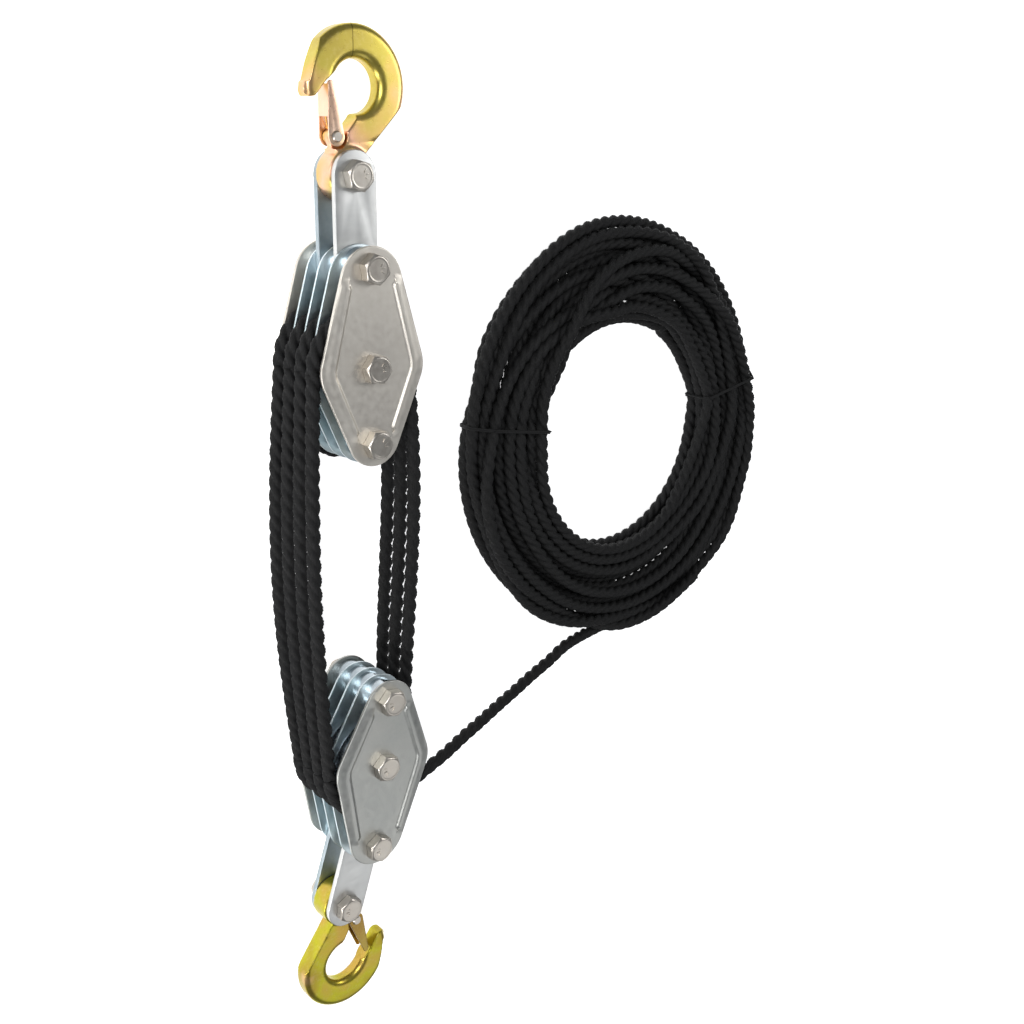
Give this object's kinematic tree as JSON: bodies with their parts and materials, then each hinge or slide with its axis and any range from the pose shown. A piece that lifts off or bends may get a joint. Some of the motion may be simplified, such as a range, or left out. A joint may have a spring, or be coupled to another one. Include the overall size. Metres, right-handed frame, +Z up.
{
  "type": "rope pulley hoist",
  "caption": "Multi-fall rope pulley hoist laid flat: two plated sheave blocks on long falls of black rope, latched hooks on strap links, spare rope in a tied coil.",
  "frame": {"origin": "end face of the upper block's axle bolt on the bench, on the axle's axis", "axes": "+Z up from the bench along the axles; +Y along the hoist from the lower to the upper hook; +X towards the coil"},
  "size_m": [0.5538, 0.7187, 0.078],
  "materials": {
    "outer_plate_zinc": "satin bright zinc over pressed steel",
    "separator_zinc": "polished bright zinc with white edges",
    "spacer_zinc": "polished bright zinc tube",
    "strap_zinc": "satin zinc with fine lengthwise grain",
    "bolt_steel": "bright zinc plated bolt",
    "sheave_zinc": "dull zinc sheave",
    "bush_bronze": "oiled bronze bush",
    "hook_chromate": "iridescent yellow chromate on forged steel",
    "latch_chromate": "pink-gold chromate on pressed steel",
    "spring_chromate": "orange-gold chromate wire",
    "rope_black": "matte black three-strand polypropylene rope",
    "tie_black": "thin black tie",
    "ferrule_steel": "dull crimped sleeve"
  },
  "bodies": {
    "upper_block": {"upper_front_plate": "outer_plate_zinc", "upper_back_plate": "outer_plate_zinc", "upper_separator_1": "separator_zinc", "upper_separator_2": "separator_zinc", "upper_separator_3": "separator_zinc", "upper_axle_bolt": "bolt_steel", "upper_end_bolts": "bolt_steel", "upper_nuts": "bolt_steel", "upper_hook_end_spacers": "spacer_zinc", "upper_throat_end_spacers": "spacer_zinc", "rope_upper_wraps": "rope_black", "rope_falls": "rope_black", "rope_anchor_ferrule": "ferrule_steel"},
    "upper_sheave_1": {"upper_sheave_1": "sheave_zinc", "upper_bush_1": "bush_bronze"},
    "upper_sheave_2": {"upper_sheave_2": "sheave_zinc", "upper_bush_2": "bush_bronze"},
    "upper_sheave_3": {"upper_sheave_3": "sheave_zinc", "upper_bush_3": "bush_bronze"},
    "upper_sheave_4": {"upper_sheave_4": "sheave_zinc", "upper_bush_4": "bush_bronze"},
    "upper_straps": {"upper_front_strap": "strap_zinc", "upper_back_strap": "strap_zinc", "upper_hook_bolt": "bolt_steel", "upper_hook_nut": "bolt_steel"},
    "upper_hook": {"upper_hook": "hook_chromate", "upper_latch_pin": "bolt_steel", "upper_latch_spring": "spring_chromate"},
    "upper_latch": {"upper_latch": "latch_chromate"},
    "lower_block": {"lower_front_plate": "outer_plate_zinc", "lower_back_plate": "outer_plate_zinc", "lower_separator_1": "separator_zinc", "lower_separator_2": "separator_zinc", "lower_separator_3": "separator_zinc", "lower_axle_bolt": "bolt_steel", "lower_end_bolts": "bolt_steel", "lower_nuts": "bolt_steel", "lower_hook_end_spacers": "spacer_zinc", "lower_throat_end_spacers": "spacer_zinc", "rope_lower_wraps": "rope_black", "haul_line": "rope_black", "rope_coil": "rope_black", "coil_ties": "tie_black"},
    "lower_sheave_1": {"lower_sheave_1": "sheave_zinc", "lower_bush_1": "bush_bronze"},
    "lower_sheave_2": {"lower_sheave_2": "sheave_zinc", "lower_bush_2": "bush_bronze"},
    "lower_sheave_3": {"lower_sheave_3": "sheave_zinc", "lower_bush_3": "bush_bronze"},
    "lower_sheave_4": {"lower_sheave_4": "sheave_zinc", "lower_bush_4": "bush_bronze"},
    "lower_straps": {"lower_front_strap": "strap_zinc", "lower_back_strap": "strap_zinc", "lower_hook_bolt": "bolt_steel", "lower_hook_nut": "bolt_steel"},
    "lower_hook": {"lower_hook": "hook_chromate", "lower_latch_pin": "bolt_steel", "lower_latch_spring": "spring_chromate"},
    "lower_latch": {"lower_latch": "latch_chromate"}
  },
  "joints": [
    {"name": "upper_sheave_1_spin", "type": "hinge", "parent": "upper_block", "child": "upper_sheave_1", "pos_m": [0, 0, 0.0215], "axis": [0, 0, 1], "continuous": true},
    {"name": "upper_sheave_2_spin", "type": "hinge", "parent": "upper_block", "child": "upper_sheave_2", "pos_m": [0, 0, 0.035], "axis": [0, 0, 1], "continuous": true},
    {"name": "upper_sheave_3_spin", "type": "hinge", "parent": "upper_block", "child": "upper_sheave_3", "pos_m": [0, 0, 0.0485], "axis": [0, 0, 1], "continuous": true},
    {"name": "upper_sheave_4_spin", "type": "hinge", "parent": "upper_block", "child": "upper_sheave_4", "pos_m": [0, 0, 0.062], "axis": [0, 0, 1], "continuous": true},
    {"name": "upper_strap_swing", "type": "hinge", "parent": "upper_block", "child": "upper_straps", "pos_m": [0, 0.065, 0.04175], "axis": [0, 0, 1], "range_deg": [-45, 45]},
    {"name": "upper_hook_swing", "type": "hinge", "parent": "upper_straps", "child": "upper_hook", "pos_m": [0, 0.122, 0.04175], "axis": [0, 0, 1], "range_deg": [-40, 40]},
    {"name": "upper_latch_swing", "type": "hinge", "parent": "upper_hook", "child": "upper_latch", "pos_m": [-0.009, 0.1455, 0.04175], "axis": [0, 0, 1], "range_deg": [-28, 0], "stiffness_Nm_per_rad": 0.08, "springref_deg": 8.59},
    {"name": "lower_block_travel", "type": "slide", "parent": "upper_block", "child": "lower_block", "axis": [0, 1, 0], "range_m": [0, 0.12], "deforming": ["rope_falls"]},
    {"name": "lower_sheave_1_spin", "type": "hinge", "parent": "lower_block", "child": "lower_sheave_1", "pos_m": [0.002, -0.295, 0.0215], "axis": [0, 0, 1], "continuous": true},
    {"name": "lower_sheave_2_spin", "type": "hinge", "parent": "lower_block", "child": "lower_sheave_2", "pos_m": [0.002, -0.295, 0.035], "axis": [0, 0, 1], "continuous": true},
    {"name": "lower_sheave_3_spin", "type": "hinge", "parent": "lower_block", "child": "lower_sheave_3", "pos_m": [0.002, -0.295, 0.0485], "axis": [0, 0, 1], "continuous": true},
    {"name": "lower_sheave_4_spin", "type": "hinge", "parent": "lower_block", "child": "lower_sheave_4", "pos_m": [0.002, -0.295, 0.062], "axis": [0, 0, 1], "continuous": true},
    {"name": "lower_strap_swing", "type": "hinge", "parent": "lower_block", "child": "lower_straps", "pos_m": [-0.00592, -0.35951, 0.04175], "axis": [0, 0, 1], "range_deg": [-45, 45]},
    {"name": "lower_hook_swing", "type": "hinge", "parent": "lower_straps", "child": "lower_hook", "pos_m": [-0.02354, -0.41373, 0.04175], "axis": [0, 0, 1], "range_deg": [-40, 40]},
    {"name": "lower_latch_swing", "type": "hinge", "parent": "lower_hook", "child": "lower_latch", "pos_m": [-0.01097, -0.43553, 0.04175], "axis": [0, 0, 1], "range_deg": [-28, 0], "stiffness_Nm_per_rad": 0.08, "springref_deg": 8.59}
  ],
  "couplings": [
    {"joint": "upper_sheave_2_spin", "follows": "lower_block_travel", "rad_per_m": 60.06},
    {"joint": "upper_sheave_3_spin", "follows": "lower_block_travel", "rad_per_m": 120.12},
    {"joint": "upper_sheave_4_spin", "follows": "lower_block_travel", "rad_per_m": 180.18},
    {"joint": "lower_sheave_1_spin", "follows": "lower_block_travel", "rad_per_m": 30.03},
    {"joint": "lower_sheave_2_spin", "follows": "lower_block_travel", "rad_per_m": 90.09},
    {"joint": "lower_sheave_3_spin", "follows": "lower_block_travel", "rad_per_m": 150.15},
    {"joint": "lower_sheave_4_spin", "follows": "lower_block_travel", "rad_per_m": 210.21}
  ]
}
